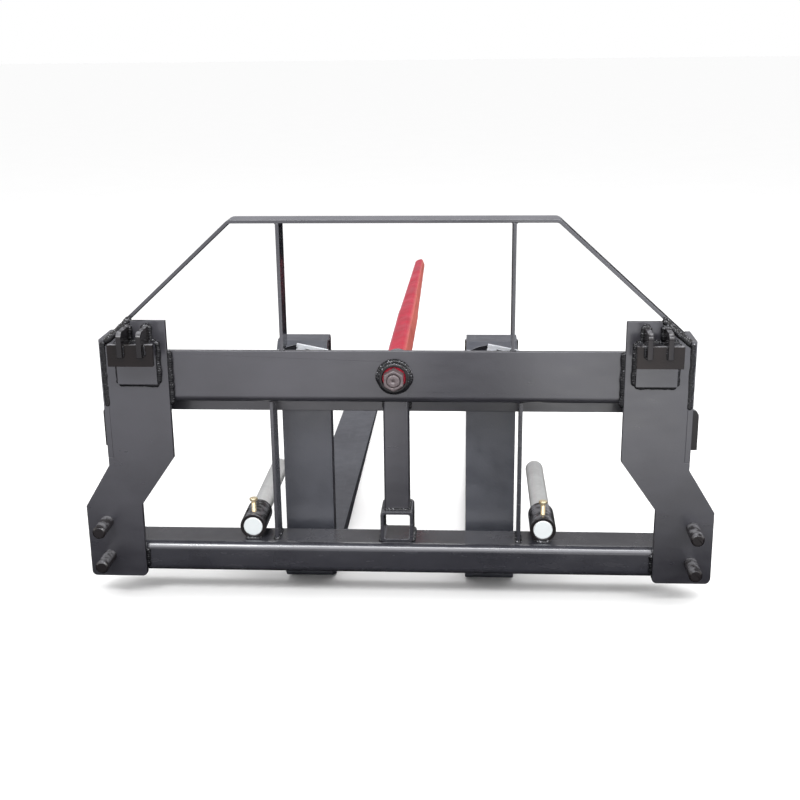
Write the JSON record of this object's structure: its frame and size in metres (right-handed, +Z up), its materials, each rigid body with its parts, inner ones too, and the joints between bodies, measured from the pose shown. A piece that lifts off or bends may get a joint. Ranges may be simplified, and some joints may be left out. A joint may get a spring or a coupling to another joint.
{
  "type": "pallet fork attachment",
  "caption": "Loader-mounted fork frame with sliding pallet forks, a bale spear, clamped stabilizer rods, a receiver socket and a bent-bar load guard.",
  "frame": {"origin": "on the ground under the centre of the whole attachment's box", "axes": "+Y forward along the forks, +Z up, +X to the right as seen from the machine"},
  "size_m": [1.21, 1.4312, 0.754],
  "materials": {
    "frame_paint": "gloss black enamel over plate and weld",
    "fork_paint": "satin slate black enamel over forged steel",
    "spear_paint": "red enamel over a forging",
    "nut_finish": "thin brown primer over turned steel",
    "zinc_rod": "clear zinc plated bar",
    "bright_zinc": "bright zinc plate",
    "latch_zinc": "zinc plated",
    "yellow_zinc": "yellow zinc chromate on steel",
    "spring_steel": "oiled spring steel"
  },
  "bodies": {
    "frame": {"upper_beam": "frame_paint", "upper_fork_rail": "frame_paint", "lower_tube": "frame_paint", "lower_fork_rail": "frame_paint", "left_mount_plate": "frame_paint", "right_mount_plate": "frame_paint", "left_side_plate": "frame_paint", "right_side_plate": "frame_paint", "left_side_lug": "frame_paint", "right_side_lug": "frame_paint", "left_hook_pad": "frame_paint", "right_hook_pad": "frame_paint", "left_hook_lip": "frame_paint", "right_hook_lip": "frame_paint", "left_inner_hook_ear": "frame_paint", "right_inner_hook_ear": "frame_paint", "left_outer_hook_ear": "frame_paint", "right_outer_hook_ear": "frame_paint", "left_upper_mount_pin": "frame_paint", "right_upper_mount_pin": "frame_paint", "left_lower_mount_pin": "frame_paint", "right_lower_mount_pin": "frame_paint", "guard_bar": "frame_paint", "left_guard_upright": "frame_paint", "right_guard_upright": "frame_paint", "left_brace_bar": "frame_paint", "right_brace_bar": "frame_paint", "centre_post": "frame_paint", "receiver_tube": "frame_paint", "left_stabilizer_collar": "frame_paint", "right_stabilizer_collar": "frame_paint", "spear_bushing": "frame_paint"},
    "left_fork": {"left_fork": "fork_paint", "left_fork_top_hook": "fork_paint", "left_fork_bottom_hook": "fork_paint"},
    "left_latch": {"left_latch_plunger": "latch_zinc", "left_latch_cross_pin": "latch_zinc", "left_latch_spring": "spring_steel"},
    "left_lever": {"left_latch_lever": "bright_zinc"},
    "left_rod": {"left_stabilizer_rod": "zinc_rod"},
    "left_bolt": {"left_set_bolt": "yellow_zinc"},
    "right_fork": {"right_fork": "fork_paint", "right_fork_top_hook": "fork_paint", "right_fork_bottom_hook": "fork_paint"},
    "right_latch": {"right_latch_plunger": "latch_zinc", "right_latch_cross_pin": "latch_zinc", "right_latch_spring": "spring_steel"},
    "right_lever": {"right_latch_lever": "bright_zinc"},
    "right_rod": {"right_stabilizer_rod": "zinc_rod"},
    "right_bolt": {"right_set_bolt": "yellow_zinc"},
    "spear": {"bale_spear": "spear_paint"},
    "nut": {"spear_nut": "nut_finish", "spear_washer": "spear_paint"}
  },
  "joints": [
    {"name": "left_fork_slide", "type": "slide", "parent": "frame", "child": "left_fork", "axis": [1, 0, 0], "range_m": [-0.025, 0.1]},
    {"name": "left_latch_drop", "type": "slide", "parent": "left_fork", "child": "left_latch", "axis": [0, 0, 1], "range_m": [-0.009, 0], "deforming": ["left_latch_spring"]},
    {"name": "left_lever_flip", "type": "hinge", "parent": "left_latch", "child": "left_lever", "pos_m": [-0.182, -0.5816, 0.495], "axis": [0, -1, 0], "range_deg": [0, 90]},
    {"name": "left_rod_slide", "type": "slide", "parent": "frame", "child": "left_rod", "axis": [0, 1, 0], "range_m": [0, 0.1]},
    {"name": "left_bolt_lift", "type": "slide", "parent": "frame", "child": "left_bolt", "axis": [0, 0, 1], "range_m": [0, 0.006]},
    {"name": "right_fork_slide", "type": "slide", "parent": "frame", "child": "right_fork", "axis": [1, 0, 0], "range_m": [-0.1, 0.025]},
    {"name": "right_latch_drop", "type": "slide", "parent": "right_fork", "child": "right_latch", "axis": [0, 0, 1], "range_m": [-0.009, 0], "deforming": ["right_latch_spring"]},
    {"name": "right_lever_flip", "type": "hinge", "parent": "right_latch", "child": "right_lever", "pos_m": [0.182, -0.5816, 0.495], "axis": [0, -1, 0], "range_deg": [0, 90]},
    {"name": "right_rod_slide", "type": "slide", "parent": "frame", "child": "right_rod", "axis": [0, 1, 0], "range_m": [0, 0.1]},
    {"name": "right_bolt_lift", "type": "slide", "parent": "frame", "child": "right_bolt", "axis": [0, 0, 1], "range_m": [0, 0.006]},
    {"name": "spear_draw", "type": "slide", "parent": "frame", "child": "spear", "axis": [0, 1, 0], "range_m": [0, 0.14]},
    {"name": "nut_off", "type": "slide", "parent": "frame", "child": "nut", "axis": [0, -1, 0], "range_m": [0, 0.035]}
  ],
  "couplings": [
    {"joint": "left_latch_drop", "follows": "left_lever_flip", "m_per_rad": -0.0057296},
    {"joint": "right_latch_drop", "follows": "right_lever_flip", "m_per_rad": -0.0057296}
  ]
}
